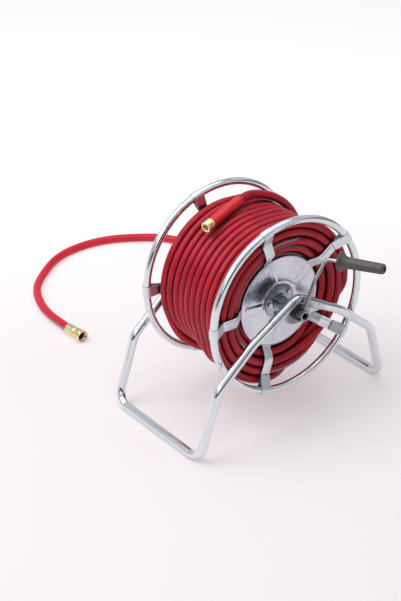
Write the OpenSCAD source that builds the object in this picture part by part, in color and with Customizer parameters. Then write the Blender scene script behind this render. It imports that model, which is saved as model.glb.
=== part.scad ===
// Portable hand-cranked hose reel on a bent-tube stand.
// Origin: on the floor, at the bottom centre of the whole part's box.
// The modules are drawn about the point on the floor below the middle of the
// drum axis, and to_origin() moves them.
// +X runs to the right as seen from the crank side, the drum axis is parallel
// to Y with the crank on the -Y side, +Z is up. Near means -Y, far means +Y.

/* [Stand] */
// Height of the drum axis above the floor
axle_h = 305; // [300:1:330]
// Outside diameter of the stand tube
frame_d = 22; // [20:0.5:24]
// Wall thickness of the stand tube
frame_wall = 1.5; // [1:0.1:2]
// Distance from the middle of the reel to each side plane of the stand
bow_y = 166; // [165:1:168]
// Distance from the middle of the reel to each floor bar
foot_x = 292; // [285:1:310]
// Half the length of the left floor bar, between its corners
foot_y_left = 166; // [140:1:170]
// Half the length of the right floor bar, between its corners
foot_y_right = 146; // [140:1:170]
// Bend radius where the stand tube meets the floor
foot_bend = 38; // [30:1:45]

/* [Flanges] */
// Radius of the flange ring, to the middle of its tube
rim_r = 218.5; // [216:0.5:226]
// Outside diameter of the flange ring tube
rim_d = 19; // [17:0.5:20]
// Distance from the middle of the reel to each flange ring
rim_y = 130.7; // [130:0.1:132]
// Width of a spoke strip
spoke_w = 26; // [20:1:28]
// Thickness of a spoke strip
spoke_t = 1.6; // [1.2:0.1:2]
// Outside radius of the pressed side disc
disc_r = 115; // [112:1:118]

/* [Hose] */
// Outside diameter of the hose
hose_d = 21; // [20:0.1:21.2]
// Inside diameter of the hose
hose_bore = 13; // [12.8:0.1:14]
// Spacing of the hose turns across the drum
hose_pitch = 21.3; // [21.2:0.1:21.4]

/* [Crank] */
// Diameter of the crank bar
bar_d = 9; // [8:0.5:10]
// Length of the hand grip
grip_len = 113; // [100:1:125]
// Diameter of the hand grip at its middle
grip_d = 26; // [24:0.5:28]

/* [Hidden] */
$fn = 32;
drum_fn = 72;        // facets round the drum
hose_fn = 24;        // facets of the wound hose section

zinc = [0.74, 0.77, 0.80];
brass = [0.80, 0.64, 0.30];
rivet_grey = [0.62, 0.65, 0.68];
bearing_black = [0.08, 0.08, 0.09];
washer_white = [0.85, 0.85, 0.82];
hub_grey = [0.66, 0.69, 0.72];
bolt_grey = [0.60, 0.63, 0.66];
disc_grey = [0.78, 0.79, 0.83];

axle_r = 10;
axle_bore_r = 7.5;
fit_gap = 0.05;      // radial gap between fitted parts
press_gap = 0.02;    // radial gap of the hubs and the crank boss on the axle
join_lap = 0.4;      // overlap of straight lengths with their bends
bend_swell = 0.05;   // extra radius of a bend over its straights

// from the point below the drum to the bottom centre of the box
shift_x = -27.339;
shift_y = -293.430;

// ---- frames and basic shapes ------------------------------------------
module to_origin() { translate([shift_x, shift_y, 0]) children(); }
module far_side() { mirror([0, 1, 0]) children(); }

function unit(v) = v / norm(v);
// a direction square to dir
function perp(dir) =
    abs(dir[2]) < 0.9 ? unit(cross([0, 0, 1], dir)) : unit(cross([1, 0, 0], dir));

// places children with local Z along z_dir and local X along x_dir
module place(pos, z_dir, x_dir) {
    x = is_undef(x_dir) ? perp(z_dir) : x_dir;
    z = z_dir;
    y = cross(z, x);
    multmatrix([[x[0], y[0], z[0], pos[0]],
                [x[1], y[1], z[1], pos[1]],
                [x[2], y[2], z[2], pos[2]],
                [0, 0, 0, 1]]) children();
}
// origin on the drum axis at station y, local Z towards -Y, local Y up
module on_axis(y = 0) { translate([0, y, axle_h]) rotate([90, 0, 0]) children(); }
// origin on the drum axis, local X outwards at an angle from +X towards +Z
module radial(angle, y = 0) { translate([0, y, axle_h]) rotate([0, -angle, 0]) children(); }

module rod(start, end, r) { place(start, unit(end - start)) cylinder(h = norm(end - start), r = r); }
// cylinder on the drum axis between two y stations
module y_cylinder(y_from, y_to, r) {
    translate([0, y_from, axle_h]) rotate([-90, 0, 0]) cylinder(h = y_to - y_from, r = r);
}
module y_ring(y_from, y_to, outer_r, inner_r) {
    difference() {
        y_cylinder(y_from, y_to, outer_r);
        y_cylinder(y_from - 1, y_to + 1, inner_r);
    }
}

// angle a path turns through at a corner, and how far from the corner the bend starts
function turn(before, corner, after) =
    180 - acos(max(-1, min(1, unit(before - corner) * unit(after - corner))));
function setback(before, corner, after, bend) = bend * tan(turn(before, corner, after) / 2);

module elbow(before, corner, after, bend, r) {
    to_before = unit(before - corner);
    to_after = unit(after - corner);
    angle = turn(before, corner, after);
    centre = corner + unit(to_before + to_after) * bend / cos(angle / 2);
    start = corner + to_before * setback(before, corner, after, bend);
    x_dir = unit(start - centre);
    place(centre, unit(cross(x_dir, -to_before)), x_dir)
        rotate_extrude(angle = angle) translate([bend, 0]) circle(r + bend_swell);
}
// round bar through a list of points, each corner rounded with its own radius;
// extend lengthens both ends, for cutting a through bore
module bent_bar(points, bends, r, extend = 0) {
    last = len(points) - 1;
    for (i = [0 : last - 1]) {
        start = points[i];
        end = points[i + 1];
        dir = unit(end - start);
        trim_start = i == 0 ? -extend
            : setback(points[i - 1], start, end, bends[i]) - join_lap;
        trim_end = i == last - 1 ? -extend
            : setback(start, end, points[i + 2], bends[i + 1]) - join_lap;
        rod(start + dir * trim_start, end - dir * trim_end, r);
    }
    for (i = [1 : last - 1]) elbow(points[i - 1], points[i], points[i + 1], bends[i], r);
}

// ---- stand ------------------------------------------------------------
apex_z = axle_h + 36;          // where the upper tube lines meet above the axle
upper_bend = [132, axle_h - 41];   // [x, z] of the bends in each bow
lower_bend = [235, axle_h - 128];
bow_slope = (apex_z - upper_bend[1]) / upper_bend[0];
tube_end_x = 15;
leg_bends = [0, 160, 48, foot_bend, foot_bend, 48, 160, 0];
function bow_z(x) = apex_z - abs(x) * bow_slope;

// side is -1 for the left leg, 1 for the right
function near_leg_points(side) = [
    [side * tube_end_x, -bow_y, bow_z(tube_end_x)],
    [side * upper_bend[0], -bow_y, upper_bend[1]],
    [side * lower_bend[0], -bow_y, lower_bend[1]],
    [side * foot_x, side < 0 ? -foot_y_left : -foot_y_right, frame_d / 2]];
// the near half, then its mirror image back up the far side
function leg_points(side) = let (near = near_leg_points(side))
    concat(near, [for (i = [3 : -1 : 0]) [near[i][0], -near[i][1], near[i][2]]]);
module leg(side) {
    points = leg_points(side);
    difference() {
        bent_bar(points, leg_bends, frame_d / 2);
        bent_bar(points, leg_bends, frame_d / 2 - frame_wall, 2);
        rivet_holes();
    }
}
module left_leg() { color(zinc) leg(-1); }
module right_leg() { color(zinc) leg(1); }

rivet_xs = [-57, -44, 44, 57];
rivet_r = 2.5;
rivet_head_seat = 12.62;       // from the tube's side plane to the base of a head
module rivet_holes() {
    for (x = rivet_xs, side = [-1, 1])
        translate([x, side * bow_y, bow_z(x)]) rotate([90, 0, 0])
            cylinder(h = 40, r = rivet_r + fit_gap, center = true);
}

// V-shaped clamshell sleeve over both tube ends, with the web that holds the bearing
sleeve_x = 76;
sleeve_t = 1.5;
sleeve_bore_r = frame_d / 2 + fit_gap;
web_t = 1.5;
bearing_r = 15;
module sleeve_bar(r, extend = 0) {
    bent_bar([[-sleeve_x, -bow_y, bow_z(sleeve_x)], [0, -bow_y, apex_z],
              [sleeve_x, -bow_y, bow_z(sleeve_x)]], [0, 25, 0], r, extend);
}
// web outline [x, height from the axle]
web_outline = [
    [-70, -10], [-64, -19.5], [-52, -17], [-40, -16.5], [-30, -19], [-22, -24],
    [-14, -28.5], [0, -30], [14, -28.5], [22, -24], [30, -19], [40, -16.5],
    [52, -17], [64, -19.5], [70, -10], [0, 28]];
// the front half is the outer one, away from the drum
module bracket_half(front) {
    difference() {
        union() {
            sleeve_bar(sleeve_bore_r + sleeve_t);
            on_axis(front ? -bow_y : -bow_y + web_t) linear_extrude(web_t) polygon(web_outline);
        }
        sleeve_bar(sleeve_bore_r, 3);
        // cut away the other half
        translate([-100, front ? -bow_y : -bow_y - 40, axle_h - 60]) cube([200, 40, 140]);
        y_cylinder(-bow_y - 20, -bow_y + 20, bearing_r + fit_gap);
        rivet_holes();
    }
}
module near_bracket_front() { color(zinc) bracket_half(true); }
module near_bracket_rear() { color(zinc) bracket_half(false); }
module far_bracket_front() { color(zinc) far_side() bracket_half(true); }
module far_bracket_rear() { color(zinc) far_side() bracket_half(false); }

module bracket_rivets() {
    for (x = rivet_xs) {
        translate([x, -bow_y, bow_z(x)]) rotate([90, 0, 0])
            cylinder(h = 27, r = rivet_r, center = true);
        for (side = [-1, 1])
            translate([x, -bow_y + side * rivet_head_seat, bow_z(x)]) rotate([side * -90, 0, 0])
                rotate_extrude()
                    polygon([[0, 0], [4, 0], [3.8, 0.7], [3, 1.4], [1.6, 1.9], [0, 2]]);
    }
}
module near_bracket_rivets() { color(rivet_grey) bracket_rivets(); }
module far_bracket_rivets() { color(rivet_grey) far_side() bracket_rivets(); }

bearing_y = 159;               // inner end of a bearing
bearing_end_y = 173;
bearing_lip_r = 18.5;
bearing_lip_y = bow_y + web_t + fit_gap;
module bearing() {
    on_axis() rotate_extrude()
        polygon([[axle_r + fit_gap, bearing_y], [bearing_r - 0.5, bearing_y],
                 [bearing_r, bearing_y + 0.5], [bearing_r, bearing_lip_y],
                 [bearing_lip_r, bearing_lip_y], [bearing_lip_r, bearing_end_y - 1],
                 [bearing_lip_r - 1, bearing_end_y], [axle_r + fit_gap, bearing_end_y]]);
}
module near_bearing() { color(bearing_black) bearing(); }
module far_bearing() { color(bearing_black) far_side() bearing(); }

// fills the space between hub and bearing, with 0.1 free at each face
module thrust_washer() { y_ring(-bearing_y + 0.1, -hub_end_y - 0.1, 16, axle_r + 0.1); }
module near_thrust_washer() { color(washer_white) thrust_washer(); }
module far_thrust_washer() { color(washer_white) far_side() thrust_washer(); }

// ---- axle and feed pipe -----------------------------------------------
axle_near_y = -193;
axle_far_y = 203;
seal_groove_ys = [183, 190];
seal_groove_w = 2;
feed_y = 60;
feed_angle = 251;              // from +X towards +Z
feed_r = 6.5;
feed_start = 8.2;              // distance from the drum axis to the pipe's inner end
// local Z outwards along the feed pipe
module feed_frame() { translate([0, feed_y, axle_h]) rotate([0, 90 - feed_angle, 0]) children(); }

module axle() {
    color(zinc) difference() {
        y_cylinder(axle_near_y, axle_far_y, axle_r);
        // the bore is closed between y = 30 and 34
        y_cylinder(axle_near_y - 1, 30, axle_bore_r);
        y_cylinder(34, axle_far_y + 1, axle_bore_r);
        // seal grooves and clip groove in the inlet end
        for (y = seal_groove_ys) y_ring(y, y + seal_groove_w, axle_r + 1, 8.2);
        y_ring(199, 200.3, axle_r + 1, 8.6);
        // feed port
        feed_frame() cylinder(h = 20, r = feed_r + fit_gap);
        // crank bolt seat
        crank_bolt_frame() cylinder(h = 20, r = crank_bolt_r + fit_gap);
    }
}
// carries the water from the hollow axle to the first hose turn
module feed_pipe() {
    color([0.76, 0.62, 0.30]) feed_frame() difference() {
        union() {
            translate([0, 0, feed_start]) cylinder(h = core_r - feed_start, r = feed_r);
            translate([0, 0, 12]) cylinder(h = 8, r = 9, $fn = 6);
            translate([0, 0, 93]) cylinder(h = 7, r = 9);
        }
        translate([0, 0, 5]) cylinder(h = 120, r = 4.5);
    }
}

// ---- drum -------------------------------------------------------------
core_r = 103.5;
core_t = 1.2;
core_half = 96.9;              // half the width of the drum core
disc_in_y = 99.1;
disc_out_y = 100.2;
hub_y = disc_out_y + fit_gap;
hub_end_y = 157.3;
hub_bolt_circle_r = 32;
hub_bolt_hole_r = 3.1;
function spoke_angle(i) = 35 + 72 * i;   // from +X towards +Z

module at_hub_bolts() {
    for (i = [0 : 4]) {
        angle = spoke_angle(i);
        translate([hub_bolt_circle_r * cos(angle), -100, axle_h + hub_bolt_circle_r * sin(angle)])
            rotate([90, 0, 0]) children();
    }
}
module hub_bolt_holes() { at_hub_bolts() cylinder(h = 60, r = hub_bolt_hole_r, center = true); }
module hub() {
    difference() {
        union() {
            y_cylinder(-103.3, -hub_y, 42);
            y_cylinder(-hub_end_y, -hub_y, 15.5);
            y_cylinder(-109, -hub_y, 20);
        }
        y_cylinder(-160, -90, axle_r + press_gap);
        hub_bolt_holes();
    }
}
// shank, washer, hexagon head and nut
module hub_bolts() {
    at_hub_bolts() {
        translate([0, 0, -8]) cylinder(h = 12, r = 3.0);
        translate([0, 0, 3.35]) cylinder(h = 1, r = 6.2);
        translate([0, 0, 4.3]) cylinder(h = 4, r = 5.77, $fn = 6);
        translate([0, 0, -7.6]) cylinder(h = 4.9, r = 5.77, $fn = 6);
    }
}
module near_hub() { color(hub_grey) hub(); }
module far_hub() { color(hub_grey) far_side() hub(); }
module near_hub_bolts() { color(bolt_grey) hub_bolts(); }
module far_hub_bolts() { color(bolt_grey) far_side() hub_bolts(); }

// pressed side disc with five raised channels over the spokes and a rolled edge
module disc() {
    difference() {
        union() {
            on_axis() rotate_extrude($fn = drum_fn)
                polygon([[axle_r + 0.1, disc_in_y], [disc_r - 0.5, disc_in_y],
                         [disc_r, 99.6], [disc_r, 101.2], [disc_r - 0.8, 101.6],
                         [disc_r - 1.6, 101.2], [disc_r - 2.4, disc_out_y],
                         [axle_r + 0.1, disc_out_y]]);
            for (i = [0 : 4]) disc_channel(spoke_angle(i));
        }
        hub_bolt_holes();
    }
}
// outlines [distance outwards, distance across the spoke]
channel_outline = [[0, -10], [58, -13.5], [62, -9.5], [62, 9.5], [58, 13.5], [0, 10],
                   [-3, 6], [-3, -6]];
channel_recess = [[5, -6], [56, -9.5], [56, 9.5], [5, 6]];
module disc_channel(angle) {
    radial(angle, -disc_out_y + 0.1) translate([47, 0, 0]) rotate([90, 0, 0]) difference() {
        linear_extrude(2.2) polygon(channel_outline);
        translate([0, 0, 1.2]) linear_extrude(2) polygon(channel_recess);
    }
}
module near_disc() { color(disc_grey) disc(); }
module far_disc() { color(disc_grey) far_side() disc(); }
module drum_core() {
    color([0.70, 0.72, 0.75]) difference() {
        on_axis() rotate_extrude($fn = drum_fn)
            translate([core_r - core_t, -core_half]) square([core_t, 2 * core_half]);
        feed_frame() cylinder(h = 120, r = 8.5);
    }
}

// ---- spokes and flange rings ------------------------------------------
// A spoke strip lies flat under the disc, S-bends outwards, runs straight to the
// ring, curls round its tube and folds back on itself.
// Sections are [distance from the drum axis, distance from the reel's middle].
root_out = disc_in_y - 0.1;            // outer and inner faces of the inner end
root_in = root_out - spoke_t;
tip_out = rim_y - rim_d / 2 - 0.35;    // outer and inner faces of the outer end
tip_in = tip_out - spoke_t;
strip_section = [
    [22, root_in], [117, root_in], [119.5, root_in + 0.9], [139.5, tip_in - 1.5],
    [144, tip_in], [rim_r - 1, tip_in], [rim_r - 1, tip_out], [143.4, tip_out],
    [138.4, tip_out - 1.5], [118.7, root_out + 1.0], [116.4, root_out], [22, root_out]];
rib_section = [
    [147, tip_out - 0.2], [rim_r - 33, tip_out - 0.2],
    [rim_r - 35, tip_out + 1.4], [149, tip_out + 1.4]];
edge_section = [
    [146, tip_out - 0.2], [rim_r - 31.5, tip_out - 0.2],
    [rim_r - 33, tip_out + 1.6], [148, tip_out + 1.6]];
// two nearly parallel lines from the strip to the outer side of the ring tube
fold_section = [
    [rim_r - 36, tip_out - 0.1], [rim_r - 36, tip_out + 1.5], [rim_r - 33, tip_out + 1.7],
    [rim_r - 7.2, rim_y + 9.35], [rim_r - 4.5, rim_y + 10], [rim_r - 4, rim_y + 8.9],
    [rim_r - 6.4, rim_y + 7.6], [rim_r - 27, tip_out - 0.1]];
edge_w = 1.6;

// a section given a width, centred on local z
module slab(section, width, z = 0) {
    translate([0, 0, z - width / 2]) linear_extrude(width) polygon(section);
}
// length of round bar on the ring's centre line, centred on the spoke
module rim_arc(angle, r) {
    rotate([-90, 0, 0]) rotate([0, 0, -angle / 2]) rotate_extrude(angle = angle, $fn = drum_fn)
        translate([rim_r, -rim_y]) circle(r);
}
module spoke_hole(x, r) {
    translate([x, 0, 0]) rotate([90, 0, 0]) cylinder(h = 400, r = r, center = true);
}
module spoke(i) {
    tube_r = rim_d / 2 + fit_gap;
    radial(spoke_angle(i)) difference() {
        union() {
            mirror([0, 1, 0]) {
                slab(strip_section, spoke_w);
                // pressed centre rib
                slab(rib_section, 9);
                // raised edges
                for (side = [-1, 1])
                    slab(edge_section, edge_w, side * (spoke_w - edge_w) / 2);
                // fold-back plate
                slab(fold_section, spoke_w + 2);
            }
            // curl round the ring
            rim_arc(7.3, tube_r + spoke_t);
        }
        rim_arc(24, tube_r);
        // rivet hole near the ring and bolt hole at the hub
        spoke_hole(rim_r - 27, 3.5);
        spoke_hole(hub_bolt_circle_r, hub_bolt_hole_r);
    }
}
module near_spoke_1() { color(zinc) spoke(0); }
module near_spoke_2() { color(zinc) spoke(1); }
module near_spoke_3() { color(zinc) spoke(2); }
module near_spoke_4() { color(zinc) spoke(3); }
module near_spoke_5() { color(zinc) spoke(4); }
module far_spoke_1() { color(zinc) far_side() spoke(0); }
module far_spoke_2() { color(zinc) far_side() spoke(1); }
module far_spoke_3() { color(zinc) far_side() spoke(2); }
module far_spoke_4() { color(zinc) far_side() spoke(3); }
module far_spoke_5() { color(zinc) far_side() spoke(4); }

module rim() {
    on_axis() rotate_extrude($fn = drum_fn) translate([rim_r, rim_y]) circle(rim_d / 2);
}
module near_rim() { color(zinc) rim(); }
module far_rim() { color(zinc) far_side() rim(); }

// ---- hose on the drum -------------------------------------------------
hose_r = hose_d / 2;
layer_turns = [9, 10, 11, 11];         // turns in each full layer, from the core out
function layer_r(i) = core_r + hose_r + 0.6 + 20.8 * i;
function end_turn_y(turns) = (turns - 1) / 2 * hose_pitch;
fifth_r = layer_r(4) + 0.6;
loose_r = layer_r(4) + 12.2;
loose_y = 59;
loose_start = -60;                     // angles where the loose turn starts and
loose_end = 71.6;                      // leaves the drum
sleeve_start = [5.7, 53.3, axle_h + 204.6];
coupling_end = [-120.2, 23.6, axle_h + 183.9];
tail_dir = unit(coupling_end - sleeve_start);
// point on the free end, a distance back from the coupling's end
function tail_point(back) = coupling_end - tail_dir * back;

// Section of one layer. A covered layer is a block with round ends; the
// outermost shows every turn, over a thinner block.
module layer_section(i) {
    turns = layer_turns[i];
    outermost = i == len(layer_turns) - 1;
    inset = outermost ? 3 : 0;
    for (k = outermost ? [0 : turns - 1] : [0, turns - 1])
        translate([layer_r(i), (k - (turns - 1) / 2) * hose_pitch]) circle(hose_r, $fn = hose_fn);
    translate([layer_r(i) - hose_r + inset, -end_turn_y(turns)])
        square([hose_d - 2 * inset, 2 * end_turn_y(turns)]);
}
// one length of hose round the drum, angles from +X towards +Z
module hose_arc(y, angle_from, angle, turn_r, r) {
    on_axis(y) rotate([0, 0, angle_from]) rotate_extrude(angle = angle, $fn = drum_fn)
        translate([turn_r, 0]) circle(r, $fn = hose_fn);
}
// slack turns crossing under the drum, as one band
module slack_band() {
    half_w = 92;
    on_axis() rotate([0, 0, -134]) rotate_extrude(angle = 68, $fn = drum_fn)
        translate([fifth_r - hose_r, -half_w]) square([hose_d, 2 * half_w]);
}
module free_end() {
    loose_exit = [loose_r * cos(loose_end) + join_lap * sin(loose_end), loose_y,
                  axle_h + loose_r * sin(loose_end) - join_lap * cos(loose_end)];
    difference() {
        union() {
            hose_arc(loose_y, loose_start, loose_end - loose_start, loose_r, hose_r + bend_swell);
            bent_bar([loose_exit, sleeve_start - tail_dir * 31, tail_point(24)],
                     [0, 74, 0], hose_r);
        }
        // open for the coupling's stem
        rod(tail_point(20), tail_point(48), 6.4);
    }
}
module hose_coil() {
    color([0.70, 0.12, 0.18]) union() {
        on_axis() rotate_extrude($fn = drum_fn) {
            for (i = [0 : len(layer_turns) - 1]) layer_section(i);
        }
        // part-filled fifth layer: a turn along the near flange, and the slack band
        hose_arc(-end_turn_y(layer_turns[3]), -5, 267, fifth_r, hose_r);
        slack_band();
        free_end();
    }
}
module tail_sleeve() {
    color([0.85, 0.10, 0.14]) difference() {
        rod(tail_point(22.2), sleeve_start, 13);
        rod(tail_point(10), sleeve_start - tail_dir * 5, hose_r + 0.1);
    }
}
// section [radius, distance along the free end], zero at the coupling's end
coupling_section = [
    [4.8, -44], [6.3, -44], [6.3, -21.6], [13.4, -21.6], [13.4, -14], [11.8, -13],
    [11.8, -11.6], [13.1, -10.6], [13.1, -1], [12.3, 0], [8, 0], [8, -14], [4.8, -16]];
module male_coupling() {
    color(brass) place(coupling_end, tail_dir) rotate_extrude() polygon(coupling_section);
}

// ---- crank ------------------------------------------------------------
crank_y = -187;
crank_bolt_r = 3;
grip_start = [83, -219, axle_h + 126.5];
grip_dir = unit([0.373, -0.924, 0.08]);
crank_corner = grip_start - grip_dir * 36.8;
// local Z outwards from the drum axis along the crank bolt
module crank_bolt_frame() {
    place([0, crank_y, axle_h], unit([-0.81, 0, -0.59]), [0, 1, 0]) children();
}
// local Z along the grip, starting a distance from its inner end
module grip_frame(along = 0) { place(grip_start + grip_dir * along, grip_dir) children(); }

module crank_arm() {
    color(zinc) difference() {
        union() {
            y_cylinder(-196, -173.6, 13);
            bent_bar([[4, crank_y, axle_h + 8], [36, crank_y, axle_h + 83], crank_corner,
                      grip_start + grip_dir * (grip_len - 6)], [0, 80, 12, 0], bar_d / 2);
        }
        y_cylinder(-200, -170, axle_r + press_gap);
        crank_bolt_frame() cylinder(h = 30, r = crank_bolt_r + fit_gap);
        // groove for the push-on retainer
        grip_frame(grip_len - 11) difference() {
            cylinder(h = 1.3, r = bar_d / 2 + 1);
            translate([0, 0, -1]) cylinder(h = 4, r = bar_d / 2 - 0.5);
        }
    }
}
module crank_bolt() {
    color([0.25, 0.26, 0.28]) crank_bolt_frame() {
        translate([0, 0, 8.6]) cylinder(h = 5, r = crank_bolt_r);
        translate([0, 0, 13.2]) cylinder(h = 4, r = 5.77, $fn = 6);
    }
}
// section [radius, distance along the grip]: flared guard, body, recessed end
grip_r = grip_d / 2;
grip_bore_r = bar_d / 2 + fit_gap;
grip_section = [
    [grip_bore_r, 0], [22, 0], [24, 1], [24.4, 3], [23.4, 5], [19.5, 8.5], [16.6, 12.5],
    [grip_r + 1.6, 18], [grip_r + 0.8, 26], [grip_r + 0.3, 60],
    [grip_r - 0.4, grip_len - 8], [grip_r - 1.2, grip_len - 3],
    [grip_r - 2.6, grip_len - 0.8], [grip_r - 4.5, grip_len], [6.5, grip_len],
    [6.5, grip_len - 12], [grip_bore_r, grip_len - 12]];
module crank_grip() {
    color([0.26, 0.25, 0.26]) grip_frame() rotate_extrude() polygon(grip_section);
}
module grip_retainer() {
    color([0.55, 0.57, 0.60]) grip_frame(grip_len - 10.9) difference() {
        cylinder(h = 1.1, r = 6.2);
        translate([0, 0, -1]) cylinder(h = 4, r = bar_d / 2 - 0.45);
    }
}

// ---- water inlet ------------------------------------------------------
inlet_y = 208;                 // the elbow's downward stem
module on_stem(z) { translate([0, inlet_y, z]) children(); }

module inlet_elbow() {
    color(brass) difference() {
        union() {
            y_cylinder(177, 222, 17);
            y_cylinder(196, 220, 18.5);
            // stem, hexagon, and the barbed tail for the leader hose
            on_stem(270) cylinder(h = 30, r = 10);
            on_stem(286) cylinder(h = 8, r = 13, $fn = 6);
            on_stem(250) cylinder(h = 25, r = 6.1);
            for (i = [0 : 2]) on_stem(252 + 6 * i) cylinder(h = 4, r1 = 5.4, r2 = 6.4);
        }
        // axle bore, chamber and plug seat
        y_cylinder(170, 199, axle_r + fit_gap);
        y_cylinder(197.5, 218, 13);
        y_cylinder(217, 230, 13.6);
        on_stem(240) cylinder(h = 60, r = 4.5);
    }
}
module inlet_seals() {
    color([0.06, 0.06, 0.06]) for (y = seal_groove_ys)
        on_axis(y + seal_groove_w / 2) rotate_extrude() translate([9.12, 0]) circle(0.86);
}
module inlet_clip() { color([0.3, 0.3, 0.32]) y_ring(199.1, 200.2, 12, 8.65); }
// round-headed plug, hollow inside, with a hexagon socket
module inlet_plug() {
    color([0.78, 0.62, 0.28]) difference() {
        union() {
            y_cylinder(218.2, 223, 13.5);
            y_cylinder(222.1, 227.1, 17);
        }
        y_cylinder(217, 221, 9);
        y_cylinder(224.5, 234.5, 6, $fn = 6);
    }
}

// ---- leader hose along the floor --------------------------------------
leader_z = hose_r + 0.2;
// path points [x, y, z] from the inlet, and the bend radius at each
leader_points = [
    [0, inlet_y, 269.5], [0, inlet_y, 150], [110, 350, leader_z], [305, 520, leader_z],
    [354, 668, leader_z], [318, 796, leader_z], [160, 903, leader_z], [6, 903, leader_z],
    [-151, 780, leader_z], [-198, 655, leader_z], [-200, 560, 14.2], [-198, 497, 16.3]];
leader_bends = [0, 100, 120, 120, 150, 150, 190, 190, 170, 170, 150, 0];
leader_end = leader_points[len(leader_points) - 1];
leader_dir = unit(leader_end - leader_points[len(leader_points) - 2]);
// local Z along the hose, starting a distance past its end
module at_end(along = 0) { place(leader_end + leader_dir * along, leader_dir) children(); }

module leader_hose() {
    color([0.74, 0.13, 0.18]) difference() {
        bent_bar(leader_points, leader_bends, hose_r);
        // both ends are open for the barbs
        on_stem(243) cylinder(h = 30, r = hose_bore / 2);
        rod(leader_end - leader_dir * 26, leader_end + leader_dir * 2, hose_bore / 2);
    }
}
// band with a lug on the +X side
module leader_clamp() {
    color([0.7, 0.72, 0.75]) difference() {
        union() {
            on_stem(254) cylinder(h = 11, r = hose_r + 1);
            translate([hose_r - 1, inlet_y - 5, 255]) cube([7, 10, 9]);
        }
        on_stem(250) cylinder(h = 30, r = hose_r + fit_gap);
    }
}
// sections [radius, distance along the hose]
ferrule_section = [
    [hose_r + fit_gap, 0], [13.2, 0], [13.6, 1], [13.6, 6], [12.9, 7.2], [12.9, 9.8],
    [13.6, 11], [13.6, 16], [12.9, 17.2], [12.9, 19.8], [13.6, 21], [13.6, 30],
    [12.6, 33.6], [9.2, 36], [7.6, 36], [7.6, 34.3], [hose_r + fit_gap, 34.3]];
tailpiece_section = [
    [4.8, -24], [6.4, -24], [6.4, 0.2], [7.5, 0.4], [7.5, 11.5], [11.8, 11.5],
    [11.8, 13.6], [4.8, 13.6]];
nut_section = [
    [7.6, 6], [14, 6], [15.4, 8], [15.4, 26], [16.2, 26.8], [16.2, 31.2], [15.4, 32],
    [13.3, 32], [13.3, 17.2], [12.8, 17.2], [12.8, 14.0], [12, 14.0], [12, 11.4],
    [7.6, 11.4]];
module leader_ferrule() { color(brass) at_end(-34) rotate_extrude() polygon(ferrule_section); }
module leader_tailpiece() { color(brass) at_end() rotate_extrude() polygon(tailpiece_section); }
// swivel nut with eight grip ribs and a recess that holds the washer
module inlet_nut() {
    color([0.82, 0.66, 0.32]) at_end() union() {
        rotate_extrude() polygon(nut_section);
        for (i = [0 : 7]) rotate([0, 0, 45 * i]) translate([15.0, -2.5, 8.5]) cube([1.1, 5, 16]);
    }
}
module inlet_washer() {
    color([0.12, 0.12, 0.12]) at_end(14.1) difference() {
        cylinder(h = 2.6, r = 12.6);
        translate([0, 0, -1]) cylinder(h = 5, r = 7);
    }
}

to_origin() left_leg();
to_origin() right_leg();
to_origin() near_bracket_front();
to_origin() near_bracket_rear();
to_origin() far_bracket_front();
to_origin() far_bracket_rear();
to_origin() near_bracket_rivets();
to_origin() far_bracket_rivets();
to_origin() near_bearing();
to_origin() far_bearing();
to_origin() near_thrust_washer();
to_origin() far_thrust_washer();
to_origin() axle();
to_origin() near_hub();
to_origin() far_hub();
to_origin() near_hub_bolts();
to_origin() far_hub_bolts();
to_origin() near_disc();
to_origin() far_disc();
to_origin() drum_core();
to_origin() near_spoke_1();
to_origin() near_spoke_2();
to_origin() near_spoke_3();
to_origin() near_spoke_4();
to_origin() near_spoke_5();
to_origin() far_spoke_1();
to_origin() far_spoke_2();
to_origin() far_spoke_3();
to_origin() far_spoke_4();
to_origin() far_spoke_5();
to_origin() near_rim();
to_origin() far_rim();
to_origin() feed_pipe();
to_origin() hose_coil();
to_origin() tail_sleeve();
to_origin() male_coupling();
to_origin() crank_arm();
to_origin() crank_bolt();
to_origin() crank_grip();
to_origin() grip_retainer();
to_origin() inlet_elbow();
to_origin() inlet_seals();
to_origin() inlet_clip();
to_origin() inlet_plug();
to_origin() leader_hose();
to_origin() leader_clamp();
to_origin() leader_ferrule();
to_origin() leader_tailpiece();
to_origin() inlet_nut();
to_origin() inlet_washer();
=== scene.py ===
"""Hose reel: a drum of red hose on an axle, in a stand of bent tube, with a leader hose on the floor.

The floor is z = 0 and the drum axis runs along Y at z = AXLE_Z. The near side is towards -Y,
the far side towards +Y. Pieces are drawn about the floor point under the middle of the drum
axis, and add_mesh moves them to that point's place in the row frame, ORIGIN. Angles about the
drum are counted from +X towards +Z. Lengths are in metres, unless a table says mm.
"""

import math

import bmesh
import bpy
import numpy as np
from mathutils import Matrix, Vector


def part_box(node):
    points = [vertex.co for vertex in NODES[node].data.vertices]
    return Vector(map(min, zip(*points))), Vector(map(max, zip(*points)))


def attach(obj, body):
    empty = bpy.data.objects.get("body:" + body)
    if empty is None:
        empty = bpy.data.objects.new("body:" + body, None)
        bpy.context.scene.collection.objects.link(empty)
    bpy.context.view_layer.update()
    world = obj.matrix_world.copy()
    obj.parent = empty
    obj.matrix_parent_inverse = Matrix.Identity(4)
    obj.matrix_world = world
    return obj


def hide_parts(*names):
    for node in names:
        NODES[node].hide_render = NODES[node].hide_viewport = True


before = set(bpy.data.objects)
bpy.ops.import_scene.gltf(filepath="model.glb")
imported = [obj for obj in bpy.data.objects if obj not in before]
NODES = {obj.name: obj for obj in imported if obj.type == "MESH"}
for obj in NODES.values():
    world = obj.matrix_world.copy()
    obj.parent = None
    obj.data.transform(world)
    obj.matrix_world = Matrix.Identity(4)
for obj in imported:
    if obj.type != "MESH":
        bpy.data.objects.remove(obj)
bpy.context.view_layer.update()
scene = bpy.context.scene

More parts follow.
